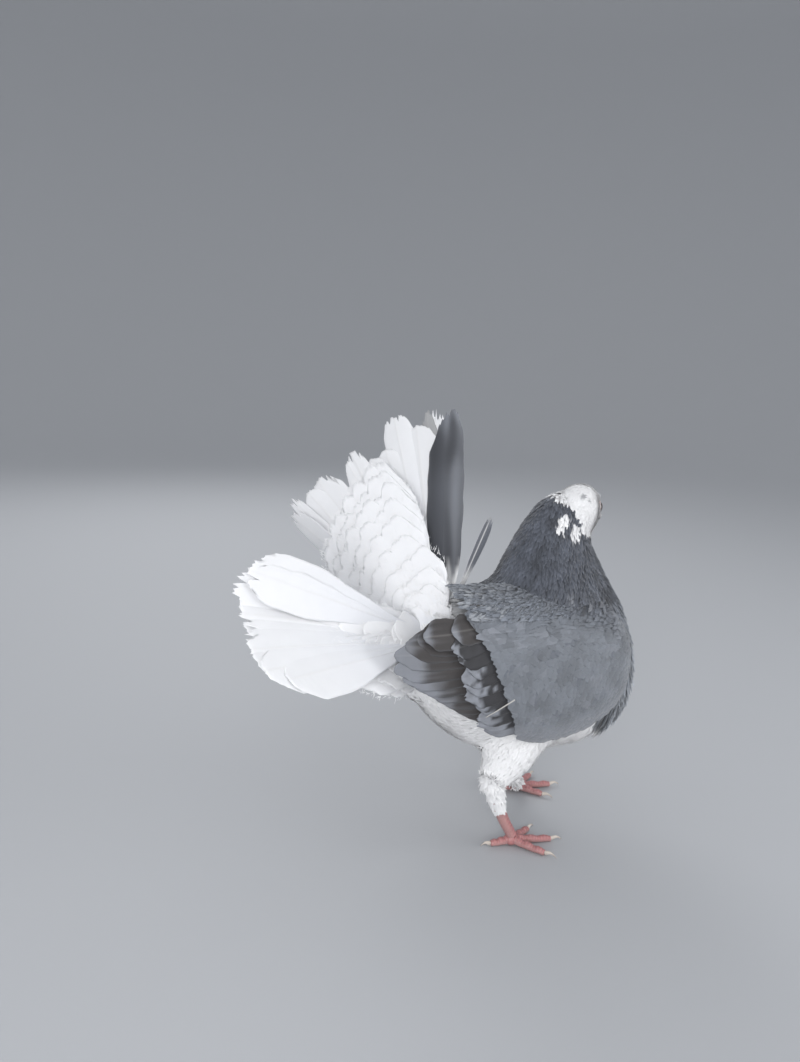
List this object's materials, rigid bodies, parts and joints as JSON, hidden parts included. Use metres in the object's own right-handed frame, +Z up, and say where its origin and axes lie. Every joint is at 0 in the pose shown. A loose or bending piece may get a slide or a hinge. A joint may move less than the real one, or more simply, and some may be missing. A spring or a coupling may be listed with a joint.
{
  "type": "fantail pigeon",
  "caption": "Standing fantail pigeon as a still life-size model: grey body, white head, dark wing feathers and a raised fan tail of overlapping feathers.",
  "frame": {"origin": "point on the floor below the middle of the bird's bounding box", "axes": "+X the way the bird's body faces, +Y to the bird's left, +Z up from the floor"},
  "size_m": [0.2853, 0.1872, 0.2756],
  "materials": {
    "white_feathers": "soft matte white feathers",
    "grey_feathers": "soft blue-grey feathers with darker flecks",
    "slate_feathers": "fine dark slate feathers with a faint sheen",
    "dark_feathers": "satin dark flight feathers with light ends",
    "leg_skin": "scaled pink-red skin",
    "bill": "satin pinkish horn with a powdery white cere",
    "claw_horn": "satin pale horn",
    "eye": "wet glossy dark brown"
  },
  "bodies": {
    "root": {"torso": "grey_feathers", "neck": "slate_feathers", "head": "white_feathers", "eye_left": "eye", "eye_right": "eye", "bill_upper": "bill", "bill_lower": "bill", "thigh_left": "white_feathers", "thigh_right": "white_feathers", "shank_left": "leg_skin", "shank_right": "leg_skin", "foot_left": "leg_skin", "foot_right": "leg_skin", "claw_left_middle": "claw_horn", "claw_left_inner": "claw_horn", "claw_left_outer": "claw_horn", "claw_left_hind": "claw_horn", "claw_right_middle": "claw_horn", "claw_right_inner": "claw_horn", "claw_right_outer": "claw_horn", "claw_right_hind": "claw_horn", "wing_left_shield": "grey_feathers", "wing_left_flight": "dark_feathers", "wing_right_shield": "grey_feathers", "wing_right_flight": "dark_feathers", "tail_fan_left": "white_feathers", "tail_fan_right": "white_feathers", "tail_coverts_under": "white_feathers"}
  },
  "joints": []
}
